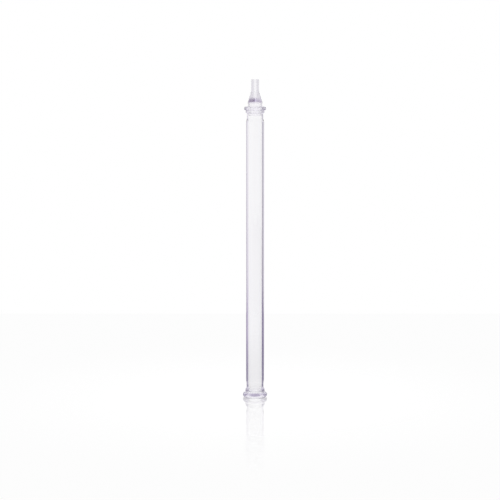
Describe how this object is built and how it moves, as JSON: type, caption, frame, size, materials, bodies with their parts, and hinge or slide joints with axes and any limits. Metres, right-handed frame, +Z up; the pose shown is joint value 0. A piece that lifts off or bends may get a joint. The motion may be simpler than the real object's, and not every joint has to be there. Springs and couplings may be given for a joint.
{
  "type": "air condenser tube",
  "caption": "Straight clear glass condenser tube, open at its flanged foot, with beaded rims, short necks and a hollow hose stopper that lifts out of the top.",
  "frame": {"origin": "centre of the flat ring on the foot rim, which the tube stands on", "axes": "+Z up the tube's axis, from the open foot towards the stopper; the object is round, so X and Y are arbitrary"},
  "size_m": [0.033, 0.033, 0.4337],
  "materials": {
    "clear_glass": "clear, fire-polished",
    "milky_plastic": "translucent, moulded, satin"
  },
  "bodies": {
    "tube": {"glass_tube": "clear_glass"},
    "stopper": {"stopper": "milky_plastic"}
  },
  "joints": [
    {"name": "stopper_lift", "type": "slide", "parent": "tube", "child": "stopper", "axis": [0, 0, 1], "range_m": [0, 0.04]}
  ]
}
